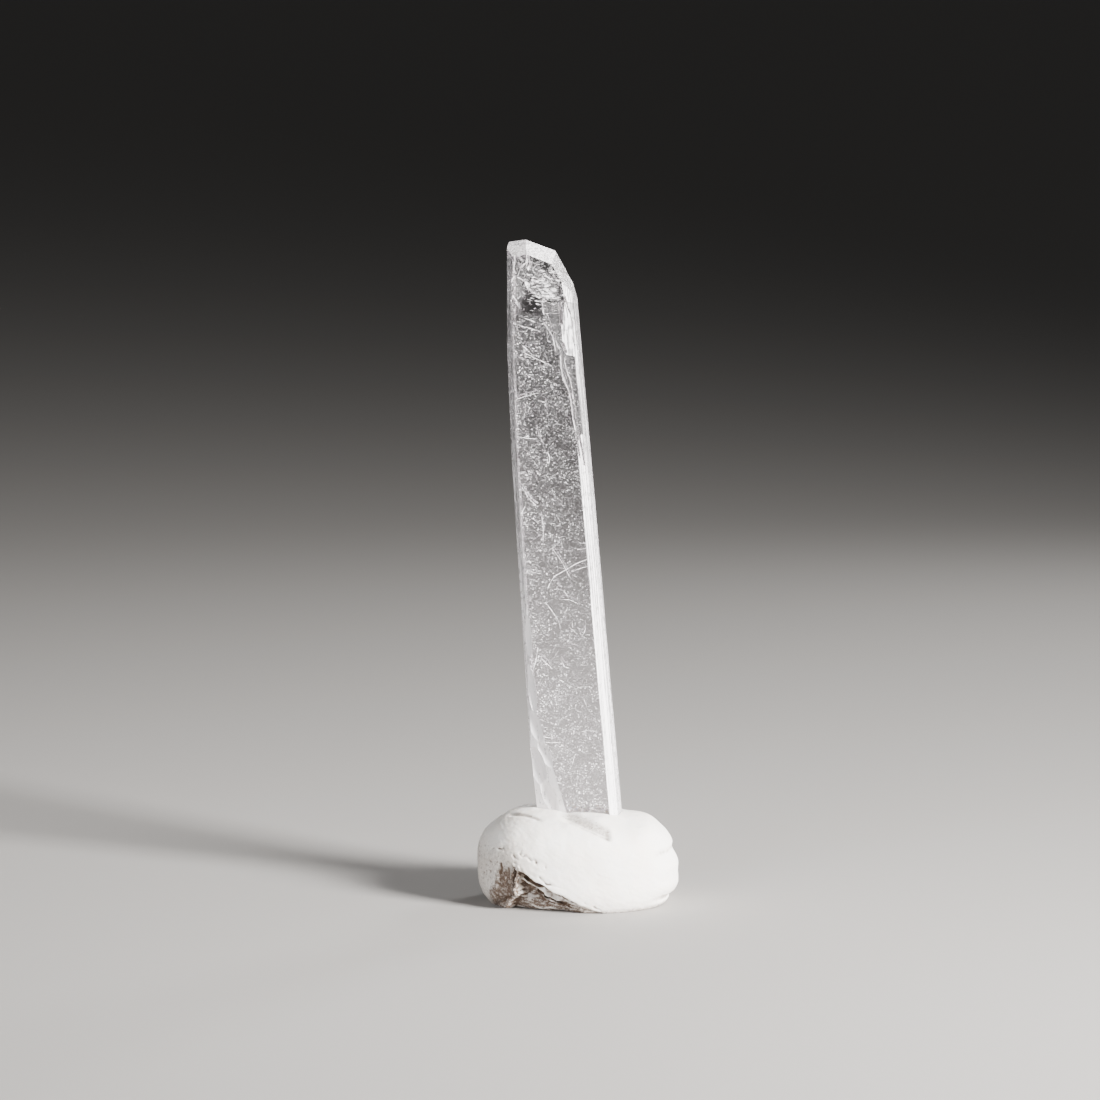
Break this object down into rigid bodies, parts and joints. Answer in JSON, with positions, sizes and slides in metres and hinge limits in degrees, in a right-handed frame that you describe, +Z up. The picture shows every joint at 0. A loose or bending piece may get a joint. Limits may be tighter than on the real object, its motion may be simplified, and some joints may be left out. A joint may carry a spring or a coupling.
{
  "type": "nifontovite crystal specimen",
  "caption": "Clear, blade-like monoclinic crystal with a chisel head and a spalled edge, leaning slightly and held upright in a folded pinch of white mineral putty.",
  "frame": {"origin": "centre of the putty's box in plan, on the surface that its flat underside rests on", "axes": "+Z up, +X to the right along the putty's long side, -Y towards the crystal's broad front face with the spalled edge"},
  "size_m": [0.0122, 0.0094, 0.04],
  "materials": {
    "crystal": "vitreous growth faces, finely pitted and scratched, with frosted bevels and white fracture surfaces",
    "putty": "matt, kneaded and folded, slightly fibrous where it was stretched"
  },
  "bodies": {
    "root": {"crystal": "crystal", "putty": "putty"}
  },
  "joints": []
}
